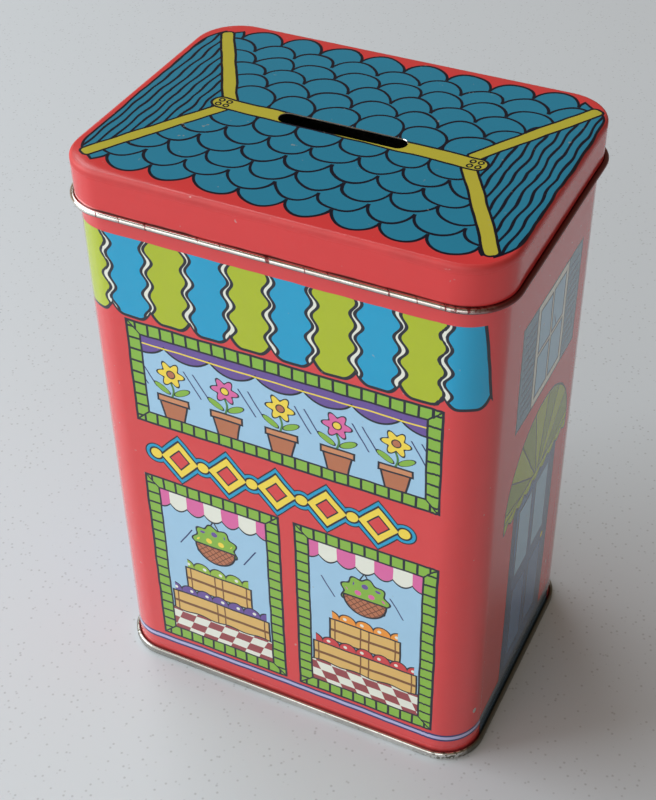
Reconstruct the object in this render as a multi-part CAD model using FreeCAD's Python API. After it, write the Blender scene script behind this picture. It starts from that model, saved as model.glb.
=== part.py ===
import FreeCAD, Part
import os

# Tin money box in millimetres: a tinplate body wall with a lock seam up its back,
# a base seamed to its foot, and a drawn lid with a coin slot that lifts off.
# The origin is on the floor under the middle of the tin, +Z is up and the front faces -Y.

# Whole tin
WIDTH = 100.0            # body wall, outside, along X
DEPTH = 72.0             # body wall, outside, along Y
HEIGHT = 153.0           # floor to the lid's top face
CORNER_RADIUS = 10.0     # upright corners of the body wall, outside
GAUGE = 0.28             # thickness of the tinplate

# Lid
LID_HEIGHT = 10.9        # top face to the foot of the rolled edge
LID_PLAY = 0.7           # air between the body wall and the lid's skirt, each side
LID_SEAT_GAP = 0.3       # air between the body's top edge and the lid's top panel
LID_EDGE_RADIUS = 1.0    # outside of the bend from the top panel to the skirt
LID_CURL = 1.4           # outside diameter of the rolled lower edge
LID_CURL_TURN = 290.0    # degrees that the edge is rolled
SLOT_LENGTH = 30.5       # coin slot, over its round ends
SLOT_WIDTH = 4.2

# Seams of the body
SEAM_GAP = 0.12          # air between two layers of a seam
LOCK_WIDTH = 3.5         # overlap of the hooked edges in the lock seam
LOCK_NOTCH = 1.0         # the lock seam stops this far from the base panel and from the hem
HEM_DEPTH = 3.5          # height of the folded top edge
HEM_INSIDE_RADIUS = 0.15

# Base
SEAM_HEIGHT = 2.4        # floor to the crest of the base seam
FOOT_BEND = 0.25         # inside radius where the seam turns along the floor
PANEL_RAISE = 3.4        # floor to the underside of the sunk base panel
PANEL_BEND = 0.9         # inside radius from the panel to its upright wall

# Places that the pieces share: offsets count outwards from the body wall's outside
PITCH = GAUGE + SEAM_GAP
WALL_LINE = -GAUGE / 2
BODY_TOP = HEIGHT - GAUGE - LID_SEAT_GAP
BODY_HOOK_CENTRE = GAUGE + SEAM_GAP + PITCH + GAUGE / 2
BASE_HOOK_CENTRE = SEAM_HEIGHT - PITCH - GAUGE / 2

CENTRE = FreeCAD.Vector(0, 0, 0)
EAST = FreeCAD.Vector(1, 0, 0)
UP = FreeCAD.Vector(0, 0, 1)


def turned(vector, degrees):
    return FreeCAD.Rotation(UP, degrees).multVec(vector)


def formed_strip(start, heading, moves):
    """Edge view of a bent sheet, as a face in the XY plane.

    The moves follow the middle of the sheet. A number is a straight run, and a pair is a bend,
    given as its radius and its turn in degrees, positive to the left.
    """
    place = FreeCAD.Vector(*start, 0)
    skins = {GAUGE / 2: [], -GAUGE / 2: []}
    caps = []
    for move in moves:
        ahead = turned(EAST, heading)
        leftward = turned(ahead, 90)
        if not caps:
            caps.append(Part.makeLine(place + leftward * GAUGE / 2, place - leftward * GAUGE / 2))
        if isinstance(move, tuple):
            radius, turn = move
            hub = place + leftward * (radius if turn > 0 else -radius)
            for offset, skin in skins.items():
                spoke = place + leftward * offset - hub
                stops = [hub + turned(spoke, turn * share) for share in (0, 0.5, 1)]
                skin.append(Part.Arc(*stops).toShape())
            place = hub + turned(place - hub, turn)
            heading += turn
        else:
            for offset, skin in skins.items():
                begin = place + leftward * offset
                skin.append(Part.makeLine(begin, begin + ahead * move))
            place = place + ahead * move
    leftward = turned(EAST, heading + 90)
    caps.append(Part.makeLine(place + leftward * GAUGE / 2, place - leftward * GAUGE / 2))
    edges = sum(skins.values(), caps)
    return Part.Face(Part.Wire(Part.__sortEdges__(edges)))


def section(start, heading, moves):
    """A bent sheet cut across: outwards along X, upwards along Z."""
    face = formed_strip(start, heading, moves)
    face.rotate(CENTRE, EAST, 90)
    return face


def around(profile):
    """Carry a section round the tin: a straight run along each side, then a turned corner."""
    pieces = []
    for quarter in range(4):
        reach, half_side = (WIDTH / 2, DEPTH / 2) if quarter % 2 == 0 else (DEPTH / 2, WIDTH / 2)
        straight = half_side - CORNER_RADIUS
        side = profile.translated(FreeCAD.Vector(reach, -straight, 0))
        pieces.append(side.extrude(FreeCAD.Vector(0, 2 * straight, 0)))
        hub = FreeCAD.Vector(reach - CORNER_RADIUS, straight, 0)
        corner = profile.translated(FreeCAD.Vector(reach, straight, 0))
        pieces.append(corner.revolve(hub, UP, 90))
        for piece in pieces[-2:]:
            piece.rotate(CENTRE, UP, 90 * quarter)
    return pieces[0].fuse(pieces[1:])


def flat_panel(offset, bottom):
    """A flat sheet inside a ring, with the ring's rounded outline."""
    width = WIDTH + 2 * offset
    depth = DEPTH + 2 * offset
    block = Part.makeBox(width, depth, GAUGE, FreeCAD.Vector(-width / 2, -depth / 2, bottom))
    uprights = [edge for edge in block.Edges if abs(edge.tangentAt(edge.FirstParameter).z) > 0.5]
    return block.makeFillet(CORNER_RADIUS + offset, uprights)


def joined(first, *others):
    whole = first.fuse(list(others)).removeSplitter()
    return whole.Solids[0]


def make_lid():
    """Drawn cap: flat top with the coin slot, rounded edge, skirt, and an edge rolled outwards."""
    top_bend = LID_EDGE_RADIUS - GAUGE / 2
    curl_bend = (LID_CURL - GAUGE) / 2
    panel_edge = LID_PLAY + GAUGE - LID_EDGE_RADIUS
    skirt = LID_HEIGHT - LID_EDGE_RADIUS - LID_CURL / 2
    rim = section(
        (panel_edge, HEIGHT - GAUGE / 2), 0,
        [(top_bend, -90), skirt, (curl_bend, LID_CURL_TURN)])
    cap = joined(around(rim), flat_panel(panel_edge, HEIGHT - GAUGE))
    return cap.cut(coin_slot()).Solids[0]


def coin_slot():
    """The punch that pierces the lid, with half-round ends."""
    end_radius = SLOT_WIDTH / 2
    straight = SLOT_LENGTH - SLOT_WIDTH
    bottom = HEIGHT - 2 * GAUGE
    depth = 3 * GAUGE
    corner = FreeCAD.Vector(-straight / 2, -end_radius, bottom)
    punch = Part.makeBox(straight, SLOT_WIDTH, depth, corner)
    ends = [Part.makeCylinder(end_radius, depth, FreeCAD.Vector(side * straight / 2, 0, bottom))
            for side in (-1, 1)]
    return punch.fuse(ends).removeSplitter()


def make_body_wall():
    """Rolled tube: hooked foot, hooked edges locked together at the back, and a hemmed top."""
    hem_bend = HEM_INSIDE_RADIUS + GAUGE / 2
    hem_rise = hem_bend + GAUGE / 2
    lock_foot = PANEL_RAISE + GAUGE + LOCK_NOTCH
    lock_head = BODY_TOP - HEM_DEPTH - LOCK_NOTCH
    hook = BASE_HOOK_CENTRE - SEAM_GAP - BODY_HOOK_CENTRE
    foot = section(
        (WALL_LINE + 2 * PITCH, BODY_HOOK_CENTRE + hook), -90,
        [hook, (PITCH, -180), lock_foot - BODY_HOOK_CENTRE])
    top = section(
        (WALL_LINE, lock_head), 90,
        [BODY_TOP - hem_rise - lock_head, (hem_bend, 180), HEM_DEPTH - hem_rise])
    tube = lock_seam_plan().extrude(UP * (lock_head - lock_foot))
    tube.translate(UP * lock_foot)
    return joined(tube, around(foot), around(top))


def lock_seam_plan():
    """The wall from above: one strip bent round the tin, with its two hooked edges engaged.

    The edge that arrives stays flush outside and folds in over two layers. The edge that starts
    the strip steps in by three layers, passes under that fold and hooks back into it.
    """
    corner = (CORNER_RADIUS + WALL_LINE, 90)
    front = WIDTH - 2 * CORNER_RADIUS
    side = DEPTH - 2 * CORNER_RADIUS
    groove = 2 * PITCH
    half_back = front / 2 - groove
    step = 1.5 * PITCH
    start = (groove + SEAM_GAP, DEPTH / 2 + WALL_LINE - PITCH)
    stepped_edge = [LOCK_WIDTH - SEAM_GAP, (PITCH, -180), LOCK_WIDTH + PITCH, (step, -90), (step, 90)]
    circuit = [half_back, corner, side, corner, front, corner, side, corner, half_back]
    flush_edge = [(PITCH, 180), LOCK_WIDTH - SEAM_GAP]
    return formed_strip(start, 0, stepped_edge + circuit + flush_edge)


def make_base():
    """Stamped base: sunk panel, upright wall inside the tube, and a seam hooked round its foot."""
    foot_bend = FOOT_BEND + GAUGE / 2
    panel_bend = PANEL_BEND + GAUGE / 2
    inner_line = WALL_LINE - PITCH
    panel_edge = inner_line - panel_bend
    rise = BASE_HOOK_CENTRE - GAUGE / 2 - foot_bend
    hook = BASE_HOOK_CENTRE - BODY_HOOK_CENTRE - SEAM_GAP
    rim = section(
        (panel_edge, PANEL_RAISE + GAUGE / 2), 0,
        [(panel_bend, -90), PANEL_RAISE - panel_bend - foot_bend, (foot_bend, 90),
         4 * PITCH - 2 * foot_bend, (foot_bend, 90), rise, (PITCH, 180), hook])
    return joined(around(rim), flat_panel(panel_edge, PANEL_RAISE))


os.makedirs("parts", exist_ok=True)
for name, shape in (("lid", make_lid()), ("body_wall", make_body_wall()), ("base", make_base())):
    box = shape.optimalBoundingBox()
    size = [round(length, 2) for length in (box.XLength, box.YLength, box.ZLength)]
    print(name, "size", size, "from", round(box.ZMin, 2), "up, volume", round(shape.Volume, 1))
    shape.exportStep("parts/" + name + ".step")
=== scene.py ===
# %% [markdown]
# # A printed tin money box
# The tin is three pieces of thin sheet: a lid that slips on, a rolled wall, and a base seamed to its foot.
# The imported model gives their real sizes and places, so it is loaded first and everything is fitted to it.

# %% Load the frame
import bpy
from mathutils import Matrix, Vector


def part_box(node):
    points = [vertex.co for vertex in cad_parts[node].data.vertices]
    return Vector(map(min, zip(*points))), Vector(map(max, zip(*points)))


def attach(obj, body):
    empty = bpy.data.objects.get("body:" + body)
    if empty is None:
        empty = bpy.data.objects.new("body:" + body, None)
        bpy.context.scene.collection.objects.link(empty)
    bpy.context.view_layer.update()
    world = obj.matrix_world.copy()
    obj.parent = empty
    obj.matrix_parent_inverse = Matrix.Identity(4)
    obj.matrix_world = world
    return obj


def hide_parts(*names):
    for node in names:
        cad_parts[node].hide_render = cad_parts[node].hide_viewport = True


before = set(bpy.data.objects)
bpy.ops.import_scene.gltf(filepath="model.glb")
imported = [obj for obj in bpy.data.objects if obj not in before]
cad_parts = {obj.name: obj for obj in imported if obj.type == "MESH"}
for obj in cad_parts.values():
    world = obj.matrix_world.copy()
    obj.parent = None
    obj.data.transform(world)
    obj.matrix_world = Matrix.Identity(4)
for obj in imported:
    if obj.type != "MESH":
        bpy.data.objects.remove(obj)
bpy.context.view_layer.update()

import math
import bmesh
import bpy
import numpy as np
from mathutils import Quaternion, Vector, noise

# %% [markdown]
# ## The sheet
# All three pieces are 0.28 mm tinplate. Plain blocks would hide that, so each piece is modelled with both of
# its skins, from the same runs and bends that a press makes. Lengths are in millimetres until a mesh is made.

# %% Sizes of the sheet and of the tin
MM = 0.001
GAUGE = 0.28
SEAM_GAP = 0.12
PITCH = GAUGE + SEAM_GAP
CORNER_RADIUS = 10.0
WALL_LINE = -GAUGE / 2

lid_low, lid_high = [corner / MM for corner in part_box("lid")]
wall_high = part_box("body_wall")[1] / MM
HALF_WIDTH = wall_high.x - 2 * PITCH
HALF_DEPTH = wall_high.y - 2 * PITCH
HEIGHT = lid_high.z
print("wall", round(2 * HALF_WIDTH, 2), "by", round(2 * HALF_DEPTH, 2), "mm, height", round(HEIGHT, 2))

# %% [markdown]
# A bent sheet, cut across, is a list of moves: a number is a straight run and a pair is a bend, its radius
# and its turn in degrees. Following the moves with a pencil on each side gives the two skins of the sheet.
# Complex numbers suit such a walk: outwards is the real part, upwards the other, and to turn is to multiply.


# %% The two skins of a bent sheet
def direction(degrees):
    return complex(math.cos(math.radians(degrees)), math.sin(math.radians(degrees)))


def bent_sheet(start, heading, moves, stride=4.0, step=20.0):
    """Left and right skins; runs are divided at each stride in mm, and bends at each step in degrees."""
    place = complex(*start)
    ahead = direction(heading)
    left, right = [], []

    def mark():
        left.append(place + ahead * 1j * GAUGE / 2)
        right.append(place - ahead * 1j * GAUGE / 2)

    mark()
    for move in moves:
        if isinstance(move, tuple):
            radius, turn = move
            parts = max(2, round(abs(turn) / step))
            hub = place + ahead * 1j * math.copysign(radius, turn)
            spin = direction(turn / parts)
            for part in range(parts):
                place = hub + (place - hub) * spin
                ahead = ahead * spin
                mark()
        else:
            parts = max(1, math.ceil(move / stride))
            for part in range(parts):
                place = place + ahead * move / parts
                mark()
    return left, right


# %% [markdown]
# Every piece runs round the same rounded rectangle. A walk round it, against the clock from the front's left
# end, gives stations with a place and an outward direction. Each station also knows how far along the flat
# sheet it lies, because the print was made on the flat sheet before it was rolled.

# %% Stations round the tin
GROOVE_HALF = 2 * PITCH
FOLD_RADIUS = PITCH + GAUGE / 2
LOCK_WIDTH = 3.5
LOCK_END = GROOVE_HALF + LOCK_WIDTH
LOCK_REACH = LOCK_END + FOLD_RADIUS
LOCK_STATIONS = [0.0, 0.1, 0.25, 0.4, 0.6, GROOVE_HALF, 1.2, 1.8, 2.8, 3.8,
                 LOCK_END, 4.55, 4.75, LOCK_REACH, 5.2, 6.4]
SEAM_ZONE = 7.2
STATION_STEP = 2.5
CORNER_STEPS = 14
WIDE_END = HALF_WIDTH - CORNER_RADIUS + CORNER_RADIUS * math.pi / 2


def straight_stops(half, seamed):
    """Places along one straight side, closer together at the seam."""
    stops = list(np.linspace(-half, half, round(2 * half / STATION_STEP) + 1))
    if seamed:
        stops = [stop for stop in stops if abs(stop) > SEAM_ZONE]
        stops = stops + LOCK_STATIONS + [-stop for stop in LOCK_STATIONS[1:]]
    return sorted(stops)[:-1]


def walk_round():
    """Stations: place, outward direction, places across a wide and a narrow side, on wide, at seam."""
    stations = []
    for side in range(4):
        wide = side % 2 == 0
        reach, half = (HALF_DEPTH, HALF_WIDTH) if wide else (HALF_WIDTH, HALF_DEPTH)
        half -= CORNER_RADIUS
        facing = math.radians(90 * side - 90)
        outward = np.array([math.cos(facing), math.sin(facing)])
        along = np.array([-outward[1], outward[0]])
        for stop in straight_stops(half, side == 2):
            wide_place, narrow_place = (stop, 0.0) if wide else (WIDE_END, stop)
            place = outward * reach + along * stop
            stations.append((place, outward, wide_place, narrow_place, wide, side == 2))
        hub = outward * (reach - CORNER_RADIUS) + along * half
        for step in range(CORNER_STEPS):
            turn = math.pi / 2 * step / CORNER_STEPS
            lean = outward * math.cos(turn) + along * math.sin(turn)
            wide_place = half + CORNER_RADIUS * turn if wide else CORNER_RADIUS * turn - WIDE_END
            stations.append((hub + lean * CORNER_RADIUS, lean, wide_place, half, True, False))
    return stations


WALK = walk_round()
PATH, OUTWARD, ACROSS_WIDE, ACROSS_NARROW, ON_WIDE, AT_SEAM = [np.array(column) for column in zip(*WALK)]
print(len(WALK), "stations round the tin")

# %% [markdown]
# Sheet that has been handled is never quite true. Large flats bow by a tenth or two of a millimetre and rims
# carry small dents. A smooth noise gives both, and a dent always goes inwards from the true line of a rim.

# %% Rows of points, and their small unevenness
SEED_STEP = (7.3, 3.1, 5.7)
DENT_WAVE = 12.0
SMALL_DENT_WAVE = 5.0
SMALL_DENT_SHARE = 0.2


def ring(outwards, upwards):
    """One row of points round the tin."""
    flat = PATH + OUTWARD * np.reshape(outwards, (-1, 1))
    return np.column_stack([flat, np.broadcast_to(upwards, len(PATH))])


def rumple(points, size, seed):
    """Smooth noise from 0 to 1 at each point; size is the length of a wave in mm."""
    shift = Vector([seed * step for step in SEED_STEP])
    return np.array([0.5 + 0.5 * noise.noise(Vector(point) / size + shift) for point in points])


def dented(outwards, upwards, depth, seed):
    """A row of a rim, pushed in towards the tin here and there."""
    row = ring(outwards, upwards)
    push = rumple(row, DENT_WAVE, seed) ** 2 + SMALL_DENT_SHARE * rumple(row, SMALL_DENT_WAVE, seed + 1)
    row[:, :2] -= OUTWARD * (depth * push)[:, None]
    return row


# %% [markdown]
# Rows of stations are stitched into one closed mesh, band by band. A mesh that encloses its sheet the wrong
# way round has a negative volume, so the volume is measured and such a mesh is turned.

# %% Stitching rows into a piece
SHARP_TURN = math.radians(40)


def signed_volume(mesh):
    """Volume in cubic mm, negative where the faces look inwards."""
    solid = bmesh.new()
    solid.from_mesh(mesh)
    volume = solid.calc_volume(signed=True) / MM ** 3
    solid.free()
    return volume


def stitch(name, rows, finishes, materials, caps=()):
    """A piece whose faces look out of the sheet.

    finishes gives each band the numbers of two materials, for wide and for narrow sides.
    caps closes rows with flat faces: a row's number, whether it is turned, and its material's number.
    """
    count = len(WALK)
    corners = np.concatenate(rows)
    faces, kinds = [], []
    for row, finish in enumerate(finishes):
        here = row * count
        there = (row + 1) % len(rows) * count
        for station in range(count):
            nextdoor = (station + 1) % count
            faces.append([here + station, here + nextdoor, there + nextdoor, there + station])
            kinds.append(finish[0] if ON_WIDE[station] else finish[1])
    for row, turned, kind in caps:
        loop = list(range(row * count, (row + 1) * count))
        faces.append(loop[::-1] if turned else loop)
        kinds.append(kind)
    mesh = bpy.data.meshes.new(name)
    mesh.from_pydata((corners * MM).tolist(), [], faces)
    volume = signed_volume(mesh)
    if volume < 0:
        mesh.flip_normals()
    mesh.polygons.foreach_set("material_index", kinds)
    sheet = mesh.attributes.new("sheet", "FLOAT_VECTOR", "POINT")
    wide, narrow = np.tile(ACROSS_WIDE, len(rows)), np.tile(ACROSS_NARROW, len(rows))
    sheet.data.foreach_set("vector", np.column_stack([wide, narrow, corners[:, 2]]).ravel())
    for material in materials:
        mesh.materials.append(material)
    mesh.shade_smooth()
    mesh.set_sharp_from_angle(angle=SHARP_TURN)
    mesh.update()
    piece = bpy.data.objects.new(name, mesh)
    bpy.context.scene.collection.objects.link(piece)
    print(name, len(corners), "points,", len(faces), "faces,", round(abs(volume)), "cubic mm of sheet")
    return piece


# %% [markdown]
# ## Writing shaders as sums
# A print is a drawing, and a drawing in a shader is mostly arithmetic on places: this far from that line,
# inside that round. Joining Math nodes by hand hides the drawing. A small class wraps a socket, so that a
# sum in Python adds the nodes, and one method adds a node of any other kind.


# %% A socket that takes part in sums
class Ink:
    def __init__(self, tree, socket):
        self.tree = tree
        self.socket = socket

    def node(self, kind, settings=None, sockets=None, output=0):
        """Add a node: its settings are set first, then its sockets are set or linked."""
        made = self.tree.nodes.new(kind)
        for name, value in (settings or {}).items():
            setattr(made, name, value)
        for name, value in (sockets or {}).items():
            if isinstance(value, Ink):
                self.tree.links.new(value.socket, made.inputs[name])
            else:
                made.inputs[name].default_value = value
        return Ink(self.tree, made.outputs[output])

    def math(self, operation, *values, clamp=False):
        settings = {"operation": operation, "use_clamp": clamp}
        return self.node("ShaderNodeMath", settings, dict(enumerate(values)))

    def vector(self, operation, *values, output=0):
        return self.node("ShaderNodeVectorMath", {"operation": operation}, dict(enumerate(values)), output)

    def __add__(self, other):
        return self.math("ADD", self, other)

    def __sub__(self, other):
        return self.math("SUBTRACT", self, other)

    def __rsub__(self, other):
        return self.math("SUBTRACT", other, self)

    def __mul__(self, other):
        return self.math("MULTIPLY", self, other)

    def __truediv__(self, other):
        return self.math("DIVIDE", self, other)

    def __rtruediv__(self, other):
        return self.math("DIVIDE", other, self)

    def __abs__(self):
        return self.math("ABSOLUTE", self)

    def __and__(self, other):
        return self.math("MINIMUM", self, other)

    def __or__(self, other):
        return self.math("MAXIMUM", self, other)

    __radd__ = __add__
    __rmul__ = __mul__


# %% [markdown]
# A few words of drawing are used all the time. Distances are in millimetres and negative inside a shape.
# A mask is 1 where ink goes, with an edge as soft as a printed edge. `over` lays one ink on what is there.

# %% Words for drawing
SOFT = 0.10


def hue(red, green, blue):
    """A colour as it is read on a screen, 0 to 255, made linear for the shader."""
    parts = [part / 255 for part in (red, green, blue)]
    return (*[part / 12.92 if part < 0.04 else ((part + 0.055) / 1.055) ** 2.4 for part in parts], 1.0)


def inside(distance, grow=0.0):
    """Mask of a shape; grow moves its edge outwards."""
    return distance.math("MULTIPLY_ADD", distance, -1 / SOFT, 0.5 + grow / SOFT, clamp=True)


def line(distance, width):
    """Mask of a line drawn where the distance is 0."""
    return inside(abs(distance), width / 2)


def over(under, mask, ink):
    """Ink laid through a mask; sockets 6 and 7 of a Mix node are its two colours."""
    return mask.node("ShaderNodeMix", {"data_type": "RGBA"}, {0: mask, 6: under, 7: ink}, output=2)


def ramp(value, start, end):
    """0 at start and 1 at end, held beyond them."""
    return value.math("MULTIPLY_ADD", value, 1 / (end - start), start / (start - end), clamp=True)


# %% Places that repeat
def repeat(place, pitch):
    """The place within one repeat, from minus to plus half a pitch."""
    return place.math("WRAP", place, pitch / 2, -pitch / 2)


def nearest(place, pitch):
    """Number of the repeat that the place is in."""
    return place.math("ROUND", place * (1 / pitch))


def odd(number):
    """1 for an odd whole number, 0 for an even one."""
    return abs(repeat(number, 2.0))


def sine(place, wave):
    return place.math("SINE", place * (2 * math.pi / wave))


# %% Shapes, as distances from their edges
def block(u, v, width, height):
    """A rectangle round the origin."""
    return (abs(u) - width / 2) | (abs(v) - height / 2)


def far(u, v):
    """Distance from the origin itself."""
    return u.math("SQRT", u.math("MULTIPLY_ADD", u, u, v * v))


def disc(u, v, radius):
    return far(u, v) - radius


def rounded(u, v, width, height, radius):
    """A rectangle with round corners."""
    return far((abs(u) - width / 2 + radius) | 0.0, (abs(v) - height / 2 + radius) | 0.0) - radius


def rosette(u, v, radius, depth, petals):
    """A round with a petalled edge."""
    lobes = u.math("COSINE", u.math("ARCTAN2", v, u) * petals)
    return far(u, v) - (lobes * depth + radius)


# %% [markdown]
# ## Tinplate and varnished print
# Bare tinplate is bright steel with a thin coat of tin: a metal with faint rolling marks and dull scuffs.
# The printed side has enamel and ink under a clear varnish, so it is a plain colour with a gloss on top.
# Where the varnish is chipped the metal shows, so the chips drive both the colour and the metal.

# %% Colours of the tin
LID_RED = hue(213, 60, 62)
WALL_RED = hue(216, 62, 65)
ROOF_BLUE = hue(33, 128, 160)
SKY_BLUE = hue(2, 158, 206)
LIME = hue(172, 189, 24)
YELLOW = hue(186, 177, 60)
LEAF = hue(134, 184, 62)
PANE = hue(160, 203, 234)
LILAC = hue(180, 180, 224)
NAVY = hue(34, 42, 104)
BLACK = hue(2, 10, 34)
CREAM = hue(232, 236, 226)
TIN = hue(224, 223, 218)
# Dirt; the same dark is also painted shade in the crease above the rolled edge and at the wall's foot.
DIRT_AND_SHADE = hue(40, 22, 20)


def outlined(colour, shape, ink, outline=0.52):
    """A shape filled with ink, with a black line round it."""
    colour = over(colour, inside(shape, outline), BLACK)
    return over(colour, inside(shape), ink)


# %% A new material, and places on its surface
def new_finish(name):
    """The material, its shader node and an Ink to write with."""
    material = bpy.data.materials.new(name)
    material.use_nodes = True
    tree = material.node_tree
    return material, tree.nodes["Principled BSDF"], Ink(tree, None)


def connect(shader, socket, ink):
    ink.tree.links.new(ink.socket, shader.inputs[socket])


def grain(pen, place, size, detail=2.0, output="Fac"):
    """Noise from 0 to 1, on a vector in mm; size is the length of a wave."""
    sockets = {"Vector": place, "Scale": 1 / size, "Detail": detail}
    return pen.node("ShaderNodeTexNoise", {}, sockets, output)


def body_place(pen):
    """Place on the piece itself, in mm."""
    metres = pen.node("ShaderNodeTexCoord", output="Object")
    return pen.node("ShaderNodeVectorMath", {"operation": "SCALE"}, {0: metres, "Scale": 1 / MM})


def parts_of(pen, vector):
    """The three parts of a vector."""
    parts = pen.node("ShaderNodeSeparateXYZ", {}, {0: vector})
    return [Ink(pen.tree, socket) for socket in parts.socket.node.outputs]


def hand_drawn(pen, place, amount, size):
    """The parts of a place moved a little, as a drawn line wanders."""
    sway = pen.vector("SUBTRACT", grain(pen, place, size, 1.0, "Color"), (0.5, 0.5, 0.5))
    return parts_of(pen, pen.vector("MULTIPLY_ADD", sway, (2 * amount,) * 3, place))


# %% Bare tinplate
ROLLED_OUT = (0.12, 0.12, 1.6)
ROLLING_WAVE = 1.4
SCUFF_WAVE = 6.0
SPECK_WAVE = 0.9
SCUFF_LEVEL = 0.56
SPECK_LEVEL = 0.63
TIN_RELIEF = 0.06 * MM


def tinplate(name, bright, dark, sheen, wear_and_shade=None):
    """Tin from bright to dark where it is scuffed, and where the optional mask adds wear and painted shade;
    sheen is its roughness where it is clean.
    """
    material, shader, pen = new_finish(name)
    place = body_place(pen)
    rolling = grain(pen, pen.vector("MULTIPLY", place, ROLLED_OUT), ROLLING_WAVE)
    scuffs = grain(pen, place, SCUFF_WAVE, 5.0)
    specks = grain(pen, place, SPECK_WAVE, 3.0)
    dull_and_shade = inside(SCUFF_LEVEL - scuffs) * 0.4 + inside(SPECK_LEVEL - specks) * 0.6
    if wear_and_shade:
        # The optional mask adds wear and painted shade to the dark of the tin.
        dull_and_shade = dull_and_shade * 0.5 | wear_and_shade(*parts_of(pen, place), specks)
    connect(shader, "Base Color", over(bright, dull_and_shade, dark))
    connect(shader, "Roughness", sheen + rolling * 0.10 + dull_and_shade * 0.25)
    uneven = {"Strength": 0.25, "Distance": TIN_RELIEF, "Height": scuffs + rolling * 0.4}
    connect(shader, "Normal", pen.node("ShaderNodeBump", {}, uneven))
    shader.inputs["Metallic"].default_value = 1.0
    return material


# %% [markdown]
# Both rims carry wear and painted shade. The rolled edge is nicked and both rims are pitted where they were
# knocked; painted shade darkens the underside of the rolled edge and the right ends of both rims, and greys
# the left end of the foot. Each is a mask on the piece's place.

# %% Wear and painted shade of the rolled edge and of the foot
NICK_PITCH = 8.5
NICK_WIDTH = 0.4
PITTED_CORNER = (45.0, -36.0)
RIGHT_KNOCK = (46.0, -33.0)
LEFT_KNOCK = (-47.0, -32.0)


def from_spot(x, y, spot):
    """Distance from a spot, seen from above."""
    return far(x - spot[0], y - spot[1])


def rolled_edge_wear_and_shade(x, y, z, specks):
    """Painted shade under the lip and at the right end, where the roll would mirror dark surroundings;
    nicked, and pitted at one corner.
    """
    # Painted shade: the underside of the rolled lip is darkened.
    under_lip_shade = ramp(z, lid_low.z + 0.65, lid_low.z + 0.40)
    along = x + y * 0.9
    uneven = along + 2.5 * sine(along, 23.0)
    nicks = line(repeat(uneven, NICK_PITCH), NICK_WIDTH) * ramp(specks, 0.34, 0.44)
    pitted = ramp(from_spot(x, y, PITTED_CORNER), 9.0, 3.0) * ramp(specks, 0.48, 0.56)
    # Painted shade: the right end is darkened as a dark reflection; the nicks and pits are wear.
    return under_lip_shade | nicks | pitted | ramp(x + specks * 6.0, 41.0, 52.0)


def foot_wear_and_shade(x, y, z, specks):
    """Painted shade: dark at the right end and greyed at the left, as dim reflections; spotted at the two
    front corners that were knocked.
    """
    corners = from_spot(x, y, RIGHT_KNOCK) & (from_spot(x, y, LEFT_KNOCK) + 2.0)
    knocked = ramp(corners, 9.0, 4.0) * ramp(specks, 0.50, 0.57)
    # Painted shade: the left end of the rim is greyed and the right end darkened, standing in for dim
    # reflections; the knocks are wear.
    left_end_shade = ramp(x + specks * 10.0, 15.0, -25.0) * 0.55
    return knocked | left_end_shade | ramp(x + specks * 2.0, 47.8, 50.8)


# The dark colours of the rolled edge and the base serve for worn tin and for painted shade.
rolled_tin = tinplate("rolled_edge_tinplate", TIN, hue(128, 72, 72), 0.06, rolled_edge_wear_and_shade)
base_tin = tinplate("base_tinplate", TIN, hue(112, 110, 100), 0.08, foot_wear_and_shade)
inside_tin = tinplate("inside_tinplate", hue(214, 213, 208), hue(150, 146, 138), 0.34)
print("tinplate:", len(base_tin.node_tree.nodes), "nodes")

# %% Varnish over the print
MOTTLE_WAVE = 5.0
SMEAR_WAVE = 17.0
FLAKE_WAVE = 1.9
PEEL_WAVE = 1.6
CHIP_LEVEL = 0.765
VARNISH_RELIEF = 0.03 * MM
VARNISH_IOR = 1.5
COAT_ROUGHNESS = 0.10


def varnish(shader, pen, place, colour, rubbed, knocked=0.0, second_coat=0.0):
    """Print under clear varnish; rubbed is 1 where it is handled most, knocked where it is chipped off."""
    mottle = grain(pen, place, MOTTLE_WAVE, 3.0)
    smears = grain(pen, place, SMEAR_WAVE)
    flakes = grain(pen, place, FLAKE_WAVE, 4.0)
    chips = inside(CHIP_LEVEL - flakes - rubbed * 0.02) | knocked
    grime = mottle * (0.06 + rubbed * 0.25)
    toned = over(colour, grime, DIRT_AND_SHADE)
    connect(shader, "Base Color", over(toned, chips, TIN))
    connect(shader, "Metallic", chips)
    connect(shader, "Roughness", 0.09 + smears * 0.08 + rubbed * 0.40)
    shader.inputs["IOR"].default_value = VARNISH_IOR
    shader.inputs["Coat Weight"].default_value = second_coat
    shader.inputs["Coat Roughness"].default_value = COAT_ROUGHNESS
    peel = grain(pen, place, PEEL_WAVE)
    uneven = {"Strength": 0.12, "Distance": VARNISH_RELIEF, "Height": peel - chips * 0.6}
    connect(shader, "Normal", pen.node("ShaderNodeBump", {}, uneven))


# %% [markdown]
# ## The lid's print
# The lid is printed as a hipped roof: fish-scale tiles on its long slopes, wavy boards on its short ones and
# yellow straps where they meet. Front and back are alike, so rows of tiles are counted from the ridge. Left
# and right are alike too, apart from the tiles, so the rest is drawn once, for a quarter of the lid.

# %% Fish-scale tiles
TILE_WIDTH = 10.5
TILE_ROW = 5.07
TILE_STEP = 4.1
TILE_SHIFT = 3.7
TILE_SWAY = 0.8
SWAY_ROWS = 2.22
TILE_LINE = 0.68
LINE_ROOM = 0.35
FIRST_ROW = 9.0
LAST_ROW = 5


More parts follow.
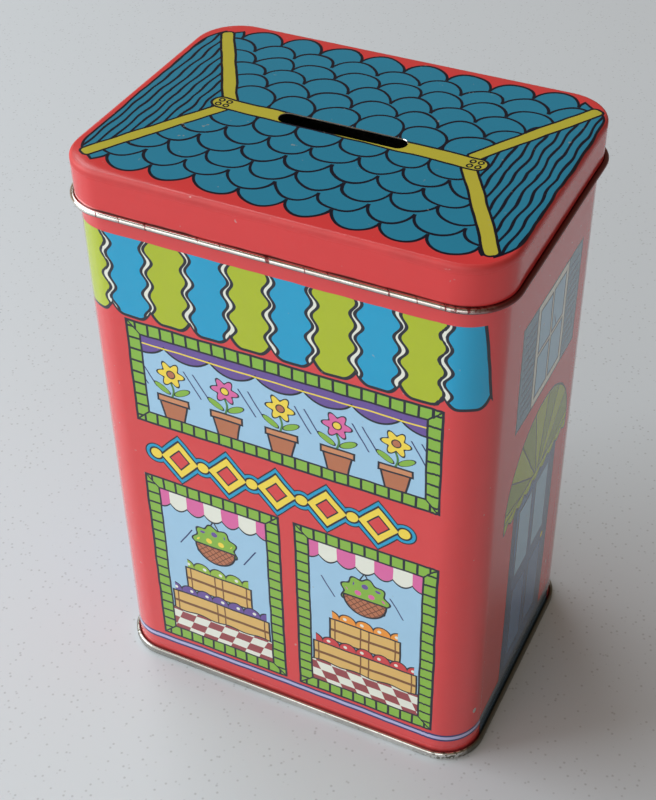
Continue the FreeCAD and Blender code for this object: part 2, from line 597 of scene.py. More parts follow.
def fish_scales(x, y):
    """Distance to the round end of the covering tile, and the number of its row."""
    row = y.math("CEIL", (y - FIRST_ROW - LINE_ROOM) * (1 / TILE_ROW)) | 0.0
    below = y - FIRST_ROW - row * TILE_ROW
    sway = TILE_SWAY * sine(row, SWAY_ROWS)
    beside = repeat(x + TILE_SHIFT + row * TILE_STEP + sway, TILE_WIDTH)
    return disc(beside, below + TILE_WIDTH / 2, TILE_WIDTH / 2), row


# %% Tiled slopes and boarded slopes
EAVES = 35.9
CORNER_SLOPE = 0.8
CORNER_CUT = 67.6
BOARD_PITCH = 2.05
BOARD_START = 29.45
BOARD_LINE = 0.66
GABLE_WIDTH = 98.6
GABLE_DEPTH = 66.4
GABLE_ROUND = 9.0
ROOF_LINE = 0.6


def tiled_slopes(colour, end, row, ax, ay, from_hip):
    """Tiles as far as the hips and the eaves, where the last row ends in scallops."""
    corner = (ay + ax * CORNER_SLOPE - CORNER_CUT) / math.hypot(1, CORNER_SLOPE)
    eaves = (ay - EAVES) | corner
    slope = inside(from_hip) & inside(row - LAST_ROW - 0.5) & inside(eaves)
    scallops = slope & (1 - inside(LAST_ROW - 0.5 - row) * inside(0 - end))
    colour = over(colour, scallops, ROOF_BLUE)
    lines = (slope & line(end, TILE_LINE)) | (scallops & inside(-ROOF_LINE - eaves))
    return over(colour, lines, BLACK)


def boarded_slopes(colour, ax, ay, gable, from_hip):
    """Boards with wavy joints, from the hips to a rounded edge."""
    beyond_hip = inside(0 - from_hip)
    sway = 0.2 * sine(ay + ax * 0.9, 11.0)
    joints = line(repeat(ax + sway - BOARD_START, BOARD_PITCH), BOARD_LINE)
    colour = over(colour, beyond_hip & inside(gable, ROOF_LINE), BLACK)
    return over(colour, beyond_hip & inside(gable) & (1 - joints), ROOF_BLUE)


# %% The whole roof
PRINT_SHIFT = 0.7
PRINT_TURN = 0.02
TILE_WANDER = (1.5, 15.0)
ROOF_WANDER = (0.45, 8.0)
HIP_X = 30.0
HIP_Y = 3.0
HIP_TURN = math.radians(30.51)
HIP_MIDDLE = 14.9
HIP_LENGTH = 34.8
HIP_WIDTH = 2.7
RIDGE_LENGTH = 65.6
RIDGE_WIDTH = 3.8
STUDS_PLACE = 30.3
STUD_RADIUS = 0.38
STUD_LINE = 0.42
LID_CURL = 1.4
CREASE_SHADE = 0.36


def roof_print(name):
    """The print lies a little to the right of the lid's middle, and a little askew."""
    material, shader, pen = new_finish(name)
    place = body_place(pen)
    tile_x, tile_y, tile_z = hand_drawn(pen, place, *TILE_WANDER)
    x, y, z = hand_drawn(pen, place, *ROOF_WANDER)
    across = x - PRINT_SHIFT - y * PRINT_TURN
    ax, ay = abs(across), abs(y)
    from_hip = (ax - HIP_X) * math.cos(HIP_TURN) - (ay - HIP_Y) * math.sin(HIP_TURN)
    along_hip = (ax - HIP_X) * math.sin(HIP_TURN) + (ay - HIP_Y) * math.cos(HIP_TURN)
    end, row = fish_scales(tile_x, abs(tile_y - 0.4))
    gable = rounded(x - PRINT_SHIFT, y, GABLE_WIDTH, GABLE_DEPTH, GABLE_ROUND)
    colour = tiled_slopes(LID_RED, end, row, ax, ay, from_hip)
    colour = boarded_slopes(colour, ax, ay, gable, from_hip)

    hip = rounded(from_hip, along_hip - HIP_MIDDLE, HIP_WIDTH, HIP_LENGTH, HIP_WIDTH / 3)
    along, aside = across - 0.3, y + 0.43 + x * PRINT_TURN
    ridge = rounded(along, aside, RIDGE_LENGTH, RIDGE_WIDTH, RIDGE_WIDTH / 2)
    studs = disc(abs(abs(along) - STUDS_PLACE) - 0.95, abs(aside) - 0.9, STUD_RADIUS)
    colour = outlined(colour, hip, YELLOW, ROOF_LINE)
    colour = outlined(colour, ridge, YELLOW, ROOF_LINE)
    colour = outlined(colour, studs, YELLOW, STUD_LINE)

    # Painted shade: a dark line in the crease just above the rolled edge.
    above_roll = z - lid_low.z - LID_CURL
    colour = over(colour, ramp(above_roll, CREASE_SHADE, 0.0) * 0.9, DIRT_AND_SHADE)
    lid_edge = rounded(x, y, 102.0, 74.0, 11.0)
    bend = ramp(lid_edge, -1.2, -0.4) * ramp(z, HEIGHT - 2.4, HEIGHT - 1.0)
    varnish(shader, pen, place, colour, bend)
    return material


lid_print = roof_print("lid_print")
print("lid print:", len(lid_print.node_tree.nodes), "nodes")

# %% [markdown]
# ## The wall's print
# The flat sheet is red, with a lilac line near its foot all round. The wide sides carry a striped awning
# and framed windows. Each mesh point knows its place on the flat sheet, so the drawing runs round the
# corners without stretching.

# %% Place on the flat sheet, and the ground of the print
FOOT_LINE = 7.5
LINE_RISE = 0.35
LINE_WAVE = 160.0
LINE_WIDTH = 1.05
LINE_OUTLINE = 0.65


def flat_sheet(pen):
    return pen.node("ShaderNodeAttribute", {"attribute_name": "sheet"}, output="Vector")


def ground(across, up):
    """Red sheet, with painted shade at the very foot next to the base seam, and a lilac line that rises a
    little in the middle.
    """
    from_line = up - FOOT_LINE - LINE_RISE * sine(across + LINE_WAVE / 4, LINE_WAVE)
    # Painted shade: the red darkens at the very foot, where the wall meets the seam.
    colour = over(WALL_RED, ramp(up, 3.1, 2.5) * 0.4, DIRT_AND_SHADE)
    colour = over(colour, line(from_line, LINE_WIDTH + 2 * LINE_OUTLINE), NAVY)
    return over(colour, line(from_line, LINE_WIDTH), LILAC)


# %% Striped awning
AWNING_TOP = 137.8
AWNING_FOOT = 116.7
AWNING_HALF = 50.0
AWNING_LEAN = 0.12
STRIPE = 10.0
SCALLOP_FLAT = 1.8
SCALLOP_BOW = 0.34
CLOTH_LINE = 0.75
PIPING_REACH = 46.0
PIPING_LINE = 0.8


def awning(colour, across, up):
    """Stripes of two colours, each with a scalloped end, and wavy white piping between them."""
    within = repeat(across - STRIPE / 2, STRIPE)
    stripe = nearest(across - STRIPE / 2, STRIPE)
    bend = (abs(within) - SCALLOP_FLAT) | 0.0
    foot = (AWNING_FOOT - up + bend * bend * SCALLOP_BOW) / far(bend * (2 * SCALLOP_BOW), 1.0)
    cloth = foot | (abs(across) - AWNING_HALF + (up - AWNING_FOOT) * AWNING_LEAN)
    below_top = inside(up - AWNING_TOP)
    colour = over(colour, below_top & inside(cloth, CLOTH_LINE), BLACK)
    colour = over(colour, below_top & inside(cloth), over(SKY_BLUE, odd(stripe), LIME))
    number = nearest(across, STRIPE)
    seam = abs(across - number * STRIPE + 0.75 * sine(up + number * 2.7, 6.0))
    breadth = 0.20 + 0.16 * sine(up + number * 1.9, 8.3) + (AWNING_TOP - up) * 0.008
    seams = below_top & inside(cloth, 0.3) & inside(abs(across) - PIPING_REACH)
    colour = over(colour, seams & inside(seam - breadth - PIPING_LINE), BLACK)
    return over(colour, seams & inside(seam - breadth), CREAM)


# %% [markdown]
# The windows have frames of green blocks, mitred at the corners. The picture behind each pane is drawn
# first, on its own, and then let into its frame, so nothing in it has to be trimmed to the pane.

# %% A window let into the wall
BLOCK = 3.3
JOINT = 0.62
MITRE = 0.6
THIN = 0.4


def window(colour, u, up, width, height, rail, picture):
    """A framed picture; u is counted from the window's middle and up from its foot."""
    v = up - height / 2
    frame_edge = block(u, v, width, height)
    pane = block(u, v, width - 2 * rail, height - 2 * rail)
    mitre = (abs(v) - height / 2) - (abs(u) - width / 2)
    upright = inside(mitre)
    joints = upright * line(repeat(v, BLOCK), JOINT) + (1 - upright) * line(repeat(u, BLOCK), JOINT)
    colour = over(colour, inside(frame_edge, 0.3), BLACK)
    colour = over(colour, inside(frame_edge, -0.35) & (1 - (joints | line(mitre, MITRE))), LEAF)
    return outlined(colour, pane, picture)


# %% Flower pots on a sill
PURPLE = hue(104, 78, 156)
PINK = hue(222, 104, 168)
SUN = hue(244, 218, 72)
CLAY = hue(184, 112, 76)
POT_RIM = hue(206, 140, 98)
STEM = hue(70, 128, 60)
POT_PITCH = 14.0
POT_HEIGHT = 5.2
LEAF_HEIGHT = 8.7
GLINT_HEIGHT = 12.0
FLOWER_HEIGHT = 13.3
CORD_HEIGHT = 20.3
SWAG_HEIGHT = 25.2
SWAG_PITCH = 11.63
SWAG_RADIUS = 7.2


def flower_sill(u, up):
    """Pots in a row under swags; up is counted from the bottom of the pane."""
    glints = line(abs(repeat(u + 0.6 * up, POT_PITCH)) - 1.2, THIN) & inside(abs(up - GLINT_HEIGHT) - 3.4)
    picture = over(PANE, glints, NAVY)
    picture = outlined(picture, disc(repeat(u, SWAG_PITCH), up - SWAG_HEIGHT, SWAG_RADIUS), PURPLE)
    picture = over(picture, line(up - CORD_HEIGHT, THIN), SUN)
    beside = repeat(u, POT_PITCH)
    second = odd(nearest(u, POT_PITCH))
    stem = line(beside - 0.4 * sine(up, 7.0), 0.6) & inside(up - FLOWER_HEIGHT + 1.3)
    picture = over(picture, stem, STEM)
    aside = abs(beside) - 2.6
    picture = outlined(picture, far(aside, (up - LEAF_HEIGHT - 0.5 * aside) * 2.2) - 1.9, LEAF, 0.35)
    petals = rosette(beside, up - FLOWER_HEIGHT, 2.7, 0.7, 6.0)
    picture = outlined(picture, petals, over(SUN, second, PINK), 0.45)
    heart = disc(beside, up - FLOWER_HEIGHT, 0.9)
    picture = outlined(picture, heart, over(CLAY, second, SUN), 0.3)
    picture = outlined(picture, (abs(beside) - 2.3 - 0.2 * up) | (up - POT_HEIGHT), CLAY)
    return outlined(picture, block(beside, up - POT_HEIGHT - 0.4, 7.6, 1.3), POT_RIM)


# %% Fruit crates
TAN = hue(222, 182, 104)
SLAT_BROWN = hue(120, 76, 40)
CRATE_HEIGHT = 7.2
FRUIT_PITCH = 4.6
FRUIT_RADIUS = 2.25
FRUIT_RISE = 0.8


def crate(picture, u, up, width, fruit):
    """A slatted crate with a row of round fruit over its edge; up is counted from the crate's foot."""
    beside = repeat(u + width / 2, FRUIT_PITCH)
    in_row = inside(abs(u) - width / 2 + 0.4)
    ball = disc(beside, up - CRATE_HEIGHT - FRUIT_RISE, FRUIT_RADIUS)
    shine = disc(beside + 0.7, up - CRATE_HEIGHT - 2 * FRUIT_RISE, 0.5)
    picture = over(picture, in_row & inside(ball, THIN), BLACK)
    picture = over(picture, in_row & inside(ball), fruit)
    picture = over(picture, in_row & inside(shine), CREAM)
    box = block(u, up - CRATE_HEIGHT / 2, width, CRATE_HEIGHT)
    picture = outlined(picture, box, TAN)
    posts = line(abs(abs(u) - width / 4) - width / 4 + 1.1, THIN)
    return over(picture, inside(box) & (posts | line(up - CRATE_HEIGHT / 2, 0.9)), SLAT_BROWN)


# %% A hanging basket
WEAVE_BROWN = hue(110, 62, 40)
PELMET_FOOT = 45.0
LEAVES_HEIGHT = 37.0
BOWL_HEIGHT = 35.6
BOWL_RADIUS = 5.3
BLOOM_ROW = 2.9
BLOOM_PITCH = 3.5
WEAVE_PITCH = 1.9


def hanging_basket(picture, u, up, left):
    """A woven bowl of leaves and flowers on two chains; left is 1 in the left window."""
    chains = line(abs(u) + (up - PELMET_FOOT) * 0.5, THIN) & inside(abs(up - PELMET_FOOT + 5.0) - 5.0)
    picture = over(picture, chains, BLACK)
    leaves = rosette(u, up - LEAVES_HEIGHT, 5.7, 0.55, 9.0)
    picture = outlined(picture, leaves, LEAF)
    row = nearest(up, BLOOM_ROW)
    blooms = disc(repeat(u + row * (BLOOM_PITCH / 2), BLOOM_PITCH), repeat(up, BLOOM_ROW), 0.85)
    bloom_ink = over(over(PURPLE, odd(row), PINK), left * odd(row), SUN)
    picture = over(picture, inside(leaves, -1.0) & inside(blooms), bloom_ink)
    bowl = disc(u, up - BOWL_HEIGHT, BOWL_RADIUS) | (up - BOWL_HEIGHT)
    picture = outlined(picture, bowl, CLAY)
    weave = line(repeat(u + up, WEAVE_PITCH), 0.35) | line(repeat(u - up, WEAVE_PITCH), 0.35)
    return over(picture, inside(bowl) & weave, WEAVE_BROWN)


# %% The whole fruit window
ORANGE = hue(240, 152, 48)
APPLE_GREEN = hue(150, 190, 60)
APPLE_RED = hue(206, 58, 62)
MAROON = hue(152, 66, 72)
CLOTH_HEIGHT = 7.6
PELMET_PITCH = 4.83


def checked_cloth(picture, u, up):
    """A checked cloth on the floor of the window, with a wavy far edge."""
    cloth = up - CLOTH_HEIGHT + 0.3 * sine(u, 9.0)
    checks = odd(nearest(u + 0.4 * up, 4.2) + nearest(up, 2.8))
    return outlined(picture, cloth, over(CREAM, checks, MAROON), 0.45)


def pelmet(picture, u, up):
    """A scalloped cloth in two colours along the top of the window."""
    within = repeat(u, PELMET_PITCH)
    cloth = PELMET_FOOT + within * within * 0.27 - up
    picture = outlined(picture, cloth, CREAM)
    return over(picture, inside(cloth) & odd(nearest(u, PELMET_PITCH)), PINK)


def fruit_display(u, up, left):
    """up is counted from the bottom of the pane, and left is 1 in the left window."""
    glints = line(abs(u + 0.6 * up - 21.2) - 9.0, THIN) & inside(abs(up - 36.5) - 3.0)
    picture = hanging_basket(over(PANE, glints, NAVY), u, up, left)
    picture = crate(picture, u, up - 17.6, 18.4, over(ORANGE, left, APPLE_GREEN))
    picture = crate(picture, u, up - 7.4, 27.6, over(APPLE_RED, left, PURPLE))
    return pelmet(checked_cloth(picture, u, up), u, up)


# %% A band of lozenges and beads
BAND_HEIGHT = 76.2
LOZENGE_PITCH = 13.0
LOZENGE_HALF = (5.0, 5.56)
LOZENGE_SLANT = 3.7


def lozenge_band(colour, across, up):
    """Five lozenges with beads between them."""
    place = across + 0.5
    number = (nearest(place, LOZENGE_PITCH) | -2.0) & 2.0
    within = place - number * LOZENGE_PITCH
    height = up - BAND_HEIGHT
    half_width, half_height = LOZENGE_HALF
    lozenge = (abs(within) / half_width + abs(height) / half_height - 1.0) * LOZENGE_SLANT
    shape = lozenge & disc(abs(within) - LOZENGE_PITCH / 2, height, 1.5)
    colour = outlined(colour, shape - 1.25, SKY_BLUE, 0.35)
    colour = outlined(colour, shape, SUN, 0.5)
    return outlined(colour, lozenge + 1.9, WALL_RED, 0.4)


# %% Wide sides of the wall
FRONT_COAT = 0.45
WALL_WANDER = (0.28, 8.0)
RUBBED_FOOT = (4.6, 2.4)
UPPER_MIDDLE = 1.5
UPPER_FOOT = 85.6
UPPER_RAIL = 3.6
LOWER_MIDDLE = 1.75
LOWER_APART = 40.8
LOWER_FOOT = 10.0
LOWER_RAIL = 3.8
CHIP_ACROSS = 52.4
CHIP_UP = 15.0
CHIP_RADIUS = 0.6


def front_print(name):
    """An awning over one wide window, a band, and two tall windows, with one chip near the foot."""
    material, shader, pen = new_finish(name)
    place = flat_sheet(pen)
    across, narrow, up = hand_drawn(pen, place, *WALL_WANDER)
    colour = awning(ground(across, up), across, up)
    u, v = across - UPPER_MIDDLE, up - UPPER_FOOT
    colour = window(colour, u, v, 77.0, 29.6, UPPER_RAIL, flower_sill(u, v - UPPER_RAIL))
    colour = lozenge_band(colour, across, up)
    left = inside(across - LOWER_MIDDLE)
    u, v = abs(across - LOWER_MIDDLE) - LOWER_APART / 2, up - LOWER_FOOT
    colour = window(colour, u, v, 36.6, 58.0, LOWER_RAIL, fruit_display(u, v - LOWER_RAIL, left))
    knocked = inside(disc(across - CHIP_ACROSS, (up - CHIP_UP) * 0.7, CHIP_RADIUS))
    varnish(shader, pen, place, colour, ramp(up, *RUBBED_FOOT), knocked, FRONT_COAT)
    return material


# %% [markdown]
# The narrow sides are quieter: a window with louvred shutters, a half-round awning and a panelled door on a
# stone step, where the lilac line ends.

# %% A window with its shutters open
SHUTTER = hue(104, 140, 164)
SHUTTERS_WIDTH = 38.0
SHUTTERS_HEIGHT = 28.0
SASH_WIDTH = 19.6
LOUVRE = 2.2


def shuttered_window(colour, u, v):
    colour = outlined(colour, block(u, v, SHUTTERS_WIDTH, SHUTTERS_HEIGHT), SHUTTER)
    on_shutter = inside(abs(abs(u) - 14.4) - 3.4) & inside(abs(v) - 12.2)
    colour = over(colour, line(repeat(v, LOUVRE), 0.45) & on_shutter, NAVY)
    colour = outlined(colour, block(u, v, SASH_WIDTH, SHUTTERS_HEIGHT), CREAM)
    colour = outlined(colour, block(abs(u) - 4.4, abs(v) - 6.3, 7.2, 11.0), PANE)
    return over(colour, line(u + 0.5 * v - 4.0, THIN) & inside(block(u - 4.4, v - 4.0, 5.0, 6.0)), NAVY)


# %% A half-round awning
FAN_RADIUS = 21.5
FAN_RIB = 22.0
FAN_HUB = 2.0
FAN_SCALLOP = FAN_RADIUS / 4
DARK_LIME = hue(140, 162, 44)


def fan_awning(colour, u, v):
    """Ribs spread from a hub a little under the awning's foot, which has a scalloped edge."""
    ribs = v.math("ARCTAN2", u, v + FAN_HUB) * (180 / math.pi)
    half = disc(u, v, FAN_RADIUS) | (0 - v)
    colour = outlined(colour, half, LIME)
    colour = over(colour, inside(half) & odd(nearest(ribs, FAN_RIB)), DARK_LIME)
    arc = repeat(ribs + FAN_RIB / 2, FAN_RIB) * far(u, v + FAN_HUB) * (math.pi / 180)
    colour = over(colour, inside(half) & line(arc, 0.45), BLACK)
    within = repeat(u, FAN_SCALLOP)
    edge = ((0 - v - 2.6 + within * within * 0.24) | v) | (abs(u) - FAN_RADIUS)
    return outlined(colour, edge, LIME)


# %% A panelled door
DOOR_FRAME = hue(58, 92, 136)
DOOR = hue(78, 118, 164)
DOOR_PANEL = hue(98, 138, 184)


def panelled_door(colour, u, v):
    """A door 29 wide and 64 high, counted from its middle."""
    colour = outlined(colour, block(u, v, 29.0, 64.0), DOOR_FRAME)
    colour = outlined(colour, block(u, v + 0.8, 24.6, 60.0), DOOR)
    colour = outlined(colour, block(abs(u) - 5.9, v + 14.0, 8.6, 24.0), DOOR_PANEL)
    colour = outlined(colour, block(abs(u) - 5.9, v - 14.5, 8.6, 22.0), PANE)
    return outlined(colour, disc(u - 10.9, v + 0.6, 0.9), SUN)


# %% Narrow sides of the wall
SIDE_COAT = 0.22
STEP = hue(84, 108, 130)
SIDE_MIDDLE = 2.0
SHUTTERS_UP = 112.0
FAN_UP = 71.0
DOOR_UP = 40.0
STEP_UP = 3.8


def side_print(name):
    material, shader, pen = new_finish(name)
    place = flat_sheet(pen)
    wide, across, up = hand_drawn(pen, place, *WALL_WANDER)
    middle = across - SIDE_MIDDLE
    colour = shuttered_window(ground(across, up), middle, up - SHUTTERS_UP)
    colour = panelled_door(colour, middle, up - DOOR_UP)
    colour = fan_awning(colour, middle, up - FAN_UP)
    colour = outlined(colour, block(across, up - STEP_UP, 51.0, 9.2), STEP)
    varnish(shader, pen, place, colour, ramp(up, *RUBBED_FOOT), 0.0, SIDE_COAT)
    return material


wall_front = front_print("wall_print_front")
wall_side = side_print("wall_print_side")
print("wall print:", len(wall_front.node_tree.nodes), "and", len(wall_side.node_tree.nodes), "nodes")

# %% [markdown]
# ## The wall
# One sheet goes round and its two edges hook together at the back, which leaves a fine groove outside and
# a flat band inside. Its top is hemmed inwards, so that no cut edge meets a hand, and its foot is hooked
# outwards into the base. The large sides bow very slightly between the corners.

# %% Rows of the wall
HEM_DEPTH = 3.5
HEM_BEND = 0.15 + GAUGE / 2
HEM_RISE = HEM_BEND + GAUGE / 2
SEAM_HEIGHT = 2.4
PANEL_RAISE = 3.4
LOCK_NOTCH = 1.0
LOCK_STEP = 0.3
BODY_TOP = wall_high.z
BODY_HOOK = 2 * PITCH + GAUGE / 2
BASE_HOOK = SEAM_HEIGHT - PITCH - GAUGE / 2
LOCK_FOOT = PANEL_RAISE + GAUGE + LOCK_NOTCH
LOCK_HEAD = BODY_TOP - HEM_DEPTH - LOCK_NOTCH

hook = BASE_HOOK - SEAM_GAP - BODY_HOOK
wall_moves = [hook, (PITCH, -180), LOCK_FOOT - BODY_HOOK - LOCK_STEP, LOCK_STEP, LOCK_HEAD - LOCK_FOOT,
              LOCK_STEP, BODY_TOP - HEM_RISE - LOCK_HEAD - LOCK_STEP, (HEM_BEND, 180), HEM_DEPTH - HEM_RISE]
wall_inner, wall_outer = bent_sheet((WALL_LINE + 2 * PITCH, BODY_HOOK + hook), -90, wall_moves)
print(len(wall_outer), "rows on each skin of the wall")

# %% The lock seam and the bow of the flats
BAND_START = -0.9
BAND_STEP = 1.3
BOW_HEIGHT = 0.22
BOW_SINK = 0.10
BOW_WAVE = 45.0
BOW_SEED = 3
CLOSE = 0.01


def smooth(share):
    share = np.clip(share, 0, 1)
    return share * share * (3 - 2 * share)


SEAM_X = np.where(AT_SEAM, -ACROSS_WIDE, 2 * HALF_WIDTH)
groove_share = np.clip(1 - np.abs(SEAM_X) / GROOVE_HALF, 0, 1)
GROOVE = FOLD_RADIUS * (1 - np.sqrt(1 - groove_share ** 2))
band_end = np.clip((SEAM_X - LOCK_END) / FOLD_RADIUS, 0, 1)
band_round = np.where(AT_SEAM, np.sqrt(1 - band_end ** 2), 0)
BAND = 3 * PITCH * smooth((SEAM_X - BAND_START) / BAND_STEP) * band_round
flat_half = np.where(ON_WIDE, HALF_WIDTH, HALF_DEPTH) - CORNER_RADIUS
flat_place = np.where(ON_WIDE, ACROSS_WIDE, ACROSS_NARROW)
BOW = np.cos(np.clip(np.abs(flat_place) / flat_half, 0, 1) * math.pi / 2) ** 2
print("groove", round(GROOVE.max(), 2), "mm deep, band", round(BAND.max(), 2), "mm thick")


def wall_row(point, outer):
    """A row of one skin; between the foot and the hem it has the bow, and the groove or the band."""
    outwards, upwards = point.real, point.imag
    row = ring(outwards, upwards)
    main = -GAUGE - CLOSE < outwards < CLOSE and LOCK_FOOT - CLOSE < upwards < BODY_TOP - HEM_DEPTH
    if main:
        rise = math.sin(math.pi * (upwards - LOCK_FOOT) / (BODY_TOP - HEM_DEPTH - LOCK_FOOT))
        height = BOW_HEIGHT * (0.4 + 1.2 * rumple(row, BOW_WAVE, BOW_SEED)) - BOW_SINK
        offset = height * BOW * rise
        if upwards < LOCK_HEAD + CLOSE:
            offset = offset - (GROOVE if outer else BAND)
        row[:, :2] += OUTWARD * offset[:, None]
    return row


# %% The wall
PRINTED_WALL, BARE_WALL = (0, 1), (2, 2)
wall_rows = [wall_row(point, True) for point in wall_outer]
wall_rows += [wall_row(point, False) for point in reversed(wall_inner)]
wall_bands = [PRINTED_WALL] * (len(wall_outer) - 1) + [BARE_WALL] * (len(wall_inner) + 1)
wall = stitch("wall", wall_rows, wall_bands, [wall_front, wall_side, inside_tin])
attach(wall, "tin")
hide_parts("body_wall")

# %% [markdown]
# ## The lid
# The lid is drawn from one sheet. Its top runs in from the rounded edge to the slot, so the rows of the
# flat top are drawn between those two outlines. The skirt ends in a rolled edge, whose outside is the
# bare side of the sheet, with the small dents of use.

# %% Outline of the coin slot, matched to the stations
SLOT_LENGTH = 30.5
SLOT_WIDTH = 4.2


def slot_outline(grow):
    reach = (SLOT_LENGTH - SLOT_WIDTH) / 2
    spine = np.clip(PATH[:, 0], -reach, reach)
    spine = np.column_stack([spine, 0 * spine])
    lean = PATH - spine
    lean = lean / np.linalg.norm(lean, axis=1)[:, None]
    return spine + lean * (SLOT_WIDTH / 2 + grow)


# %% Rows of the lid
LID_PLAY = 0.7
LID_EDGE = 1.0
CURL_TURN = 290
PANEL_EDGE = LID_PLAY + GAUGE - LID_EDGE
SLOT_BEVEL = 0.1
TOP_ROWS = 13
DISH_DEPTH = 0.10
DISH_WAVE = 30.0
DISH_SEED = 9
RIM_DENT = 0.16
RIM_SEED = 5

skirt = HEIGHT - lid_low.z - LID_EDGE - LID_CURL / 2
lid_moves = [(LID_EDGE - GAUGE / 2, -90), skirt, ((LID_CURL - GAUGE) / 2, CURL_TURN)]
lid_start = (PANEL_EDGE, HEIGHT - GAUGE / 2)
lid_outer, lid_inner = bent_sheet(lid_start, 0, lid_moves, stride=1.6, step=15.0)
print(len(lid_outer), "rows on each skin of the lid's edge, and", TOP_ROWS, "of its top")


def top_row(share, height):
    """A row of the flat top, from the slot's edge at 0 to the bend at 1."""
    edge = PATH + OUTWARD * PANEL_EDGE
    flat = slot_outline(SLOT_BEVEL) * (1 - share) + edge * share
    row = np.column_stack([flat, np.full(len(PATH), height)])
    row[:, 2] -= DISH_DEPTH * (share * (1 - share) * 4) * rumple(row, DISH_WAVE, DISH_SEED)
    return row


def slot_row(height):
    return np.column_stack([slot_outline(0.0), np.full(len(PATH), height)])


def rim_row(point):
    """A row of the lid's edge, dented where it is rolled."""
    if point.imag < lid_low.z + LID_CURL + 0.2:
        return dented(point.real, point.imag, RIM_DENT, RIM_SEED)
    return ring(point.real, point.imag)


# %% The lid
PRINTED_LID, ROLLED_LID, BARE_LID = (0, 0), (1, 1), (2, 2)
shares = np.linspace(0, 1, TOP_ROWS + 1)[:-1]
lid_rows = [slot_row(HEIGHT - SLOT_BEVEL)]
lid_rows += [top_row(share, HEIGHT) for share in shares]
lid_rows += [rim_row(point) for point in lid_outer]
lid_rows += [rim_row(point) for point in reversed(lid_inner)]
lid_rows += [top_row(share, HEIGHT - GAUGE) for share in reversed(shares)]
lid_rows += [slot_row(HEIGHT - GAUGE + SLOT_BEVEL / 2)]
printed = len(shares) + len(lid_outer)
rolled = sum(point.imag < lid_low.z + LID_CURL for point in lid_inner)
lid_bands = [ROLLED_LID] + [PRINTED_LID] * (printed - 1) + [ROLLED_LID] * rolled
lid_bands += [BARE_LID] * (len(lid_rows) - len(lid_bands))
lid = stitch("lid_cap", lid_rows, lid_bands, [lid_print, rolled_tin, inside_tin])
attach(lid, "lid")
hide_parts("lid")

# %% [markdown]
# ## The base
# The base is stamped from bare tinplate. Its panel is sunk inside the wall, and its rim turns under the
# foot and up again round the wall's hook. The rim is what knocks against shelves, so it has the most dents.

# %% Rows of the base
FOOT_BEND = 0.25 + GAUGE / 2
PANEL_BEND = 0.9 + GAUGE / 2
INNER_LINE = WALL_LINE - PITCH
FOOT_DENT = 0.10
KNOCK_DENT = 0.25
KNOCK_SPREAD = 30.0
FOOT_SEED = 21

rise = BASE_HOOK - GAUGE / 2 - FOOT_BEND
base_moves = [(PANEL_BEND, -90), PANEL_RAISE - PANEL_BEND - FOOT_BEND,
              (FOOT_BEND, 90), 4 * PITCH - 2 * FOOT_BEND,
              (FOOT_BEND, 90), rise, (PITCH, 180), BASE_HOOK - BODY_HOOK - SEAM_GAP]
base_upper, base_lower = bent_sheet((INNER_LINE - PANEL_BEND, PANEL_RAISE + GAUGE / 2), 0, base_moves)
KNOCK = np.exp(-np.sum((PATH - RIGHT_KNOCK) ** 2, axis=1) / KNOCK_SPREAD)
print(len(base_upper), "rows on each skin of the base")


def base_row(point):
    """A row of the base, dented on the outside of its rim and most at the knocked corner."""
    if point.real > 2.2 * PITCH:
        return dented(point.real, point.imag, FOOT_DENT + KNOCK_DENT * KNOCK, FOOT_SEED)
    return ring(point.real, point.imag)


# %% The base
base_rows = [base_row(point) for point in base_upper] + [base_row(point) for point in reversed(base_lower)]
base_bands = [(0, 0)] * (len(base_rows) - 1)
base_caps = [(0, True, 0), (len(base_rows) - 1, False, 0)]
base = stitch("base_pan", base_rows, base_bands, [base_tin], base_caps)
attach(base, "tin")
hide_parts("base")

# %% [markdown]
# ## Floor, light and camera
# The tin stands on a plain pale table. A large soft lamp high on the left, as a window would be, leaves the
# right side in shade, a wide one lights the front, and a smaller one above lights the lid. The surround is
# a warm room, a little brighter on the left, which fills the shadows and is mirrored in the bare metal.

# %% A pale floor
FLOOR_RADIUS = 2.4
FLOOR_SIDES = 96
SPECK_PITCH = 2.1
FLOOR_PALE = hue(204, 210, 217)
FLOOR_SPECK = hue(140, 143, 148)
FLOOR_SHADE = hue(180, 184, 190)


def pale_floor():
    """A faintly speckled table top whose rim fades into the surround."""
    material, shader, pen = new_finish("pale_floor")
    place = body_place(pen)
    speck = pen.node("ShaderNodeTexVoronoi", {}, {"Vector": place, "Scale": 1 / SPECK_PITCH})
    speckle = grain(pen, place, 1.2)
    drift = grain(pen, place, 160.0)
    colour = over(FLOOR_PALE, ramp(speck, 0.21, 0.07) * 0.5, FLOOR_SPECK)
    connect(shader, "Base Color", over(colour, drift * 0.06, FLOOR_SHADE))
    connect(shader, "Roughness", 0.34 + speckle * 0.2)
    out = pen.vector("LENGTH", place, output="Value")
    connect(shader, "Alpha", ramp(out, FLOOR_RADIUS / MM, 0.6 * FLOOR_RADIUS / MM))
    return material


floor_mesh = bpy.data.meshes.new("floor")
turns = np.linspace(0, 2 * math.pi, FLOOR_SIDES + 1)[:-1]
rim = [(FLOOR_RADIUS * math.cos(turn), FLOOR_RADIUS * math.sin(turn), 0) for turn in turns]
floor_mesh.from_pydata(rim, [], [list(range(len(rim)))])
floor_mesh.materials.append(pale_floor())
floor = bpy.data.objects.new("floor", floor_mesh)
bpy.context.scene.collection.objects.link(floor)
print("floor", 2 * FLOOR_RADIUS, "m across")

# %% Soft lamps
LAMP_AIM = Vector((0, 0, 0.08))


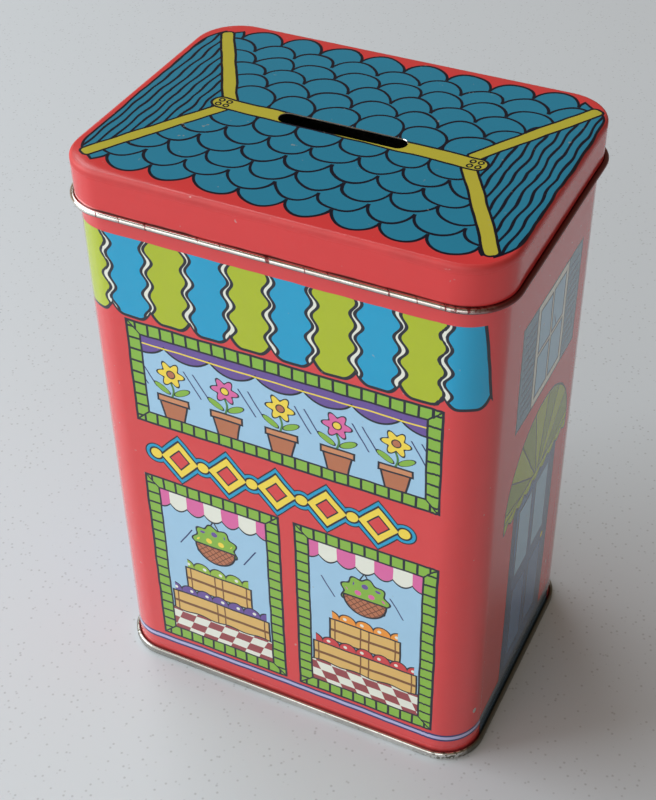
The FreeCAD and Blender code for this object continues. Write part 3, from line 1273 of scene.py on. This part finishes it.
def soft_lamp(name, place, width, height, power, tint):
    """A rectangular lamp, in metres and watts, turned to the middle of the tin."""
    data = bpy.data.lights.new(name, "AREA")
    data.shape = "RECTANGLE"
    data.size = width
    data.size_y = height
    data.energy = power
    data.color = tint
    lamp = bpy.data.objects.new(name, data)
    lamp.location = place
    aim = LAMP_AIM - Vector(place)
    lamp.rotation_euler = aim.to_track_quat("-Z", "Y").to_euler()
    bpy.context.scene.collection.objects.link(lamp)
    print(name, "at", place, "m,", power, "W")


soft_lamp("window_lamp", (-1.92, -0.70, 1.28), 1.6, 1.44, 43.0, (0.91, 0.975, 1.0))
soft_lamp("front_lamp", (-0.42, -1.75, 0.77), 3.3, 1.4, 22.0, (0.95, 0.985, 1.0))
soft_lamp("ceiling_lamp", (-1.09, 0.58, 1.58), 1.2, 1.2, 13.0, (0.92, 0.975, 1.0))

# %% A warm surround
ROOM_TINT = (1.0, 0.76, 0.53, 1.0)
ROOM_GLOW = 0.065
WALLS_GLOW = 0.32
CEILING_GLOW = 0.30

world = bpy.data.worlds.new("surround")
world.use_nodes = True
sky = Ink(world.node_tree, None)
right, away, upward = parts_of(sky, sky.node("ShaderNodeTexCoord", output="Generated"))
walls = 1 - ramp(abs(upward), 0.05, 0.75)
ceiling = ramp(upward, 0.70, 0.95)
glow = ROOM_GLOW + walls * (WALLS_GLOW - right * 0.15 - away * 0.10) + ceiling * CEILING_GLOW
backdrop = world.node_tree.nodes["Background"]
connect(backdrop, "Strength", glow)
backdrop.inputs["Color"].default_value = ROOM_TINT
bpy.context.scene.world = world
print("surround:", len(world.node_tree.nodes), "nodes")

# %% Camera
TARGET = Vector((-4.645, 0.007, 75.281)) * MM
DISTANCE = 371.16 * MM
AZIMUTH, ELEVATION, ROLL = [math.radians(angle) for angle in (26.57, 40.04, -1.10)]
LENS = 66.6
SENSOR = 36.0

level = math.cos(ELEVATION)
back = Vector((math.sin(AZIMUTH) * level, -math.cos(AZIMUTH) * level, math.sin(ELEVATION)))
camera_data = bpy.data.cameras.new("camera")
camera_data.lens = LENS
camera_data.sensor_width = SENSOR
camera = bpy.data.objects.new("camera", camera_data)
camera.location = TARGET + back * DISTANCE
camera.rotation_euler = (back.to_track_quat("Z", "Y") @ Quaternion((0, 0, 1), ROLL)).to_euler()
bpy.context.scene.collection.objects.link(camera)
bpy.context.scene.camera = camera
bpy.context.scene.view_settings.view_transform = "Standard"
print("camera at", [round(part, 3) for part in camera.location])

# %% Update the scene
bpy.context.view_layer.update()
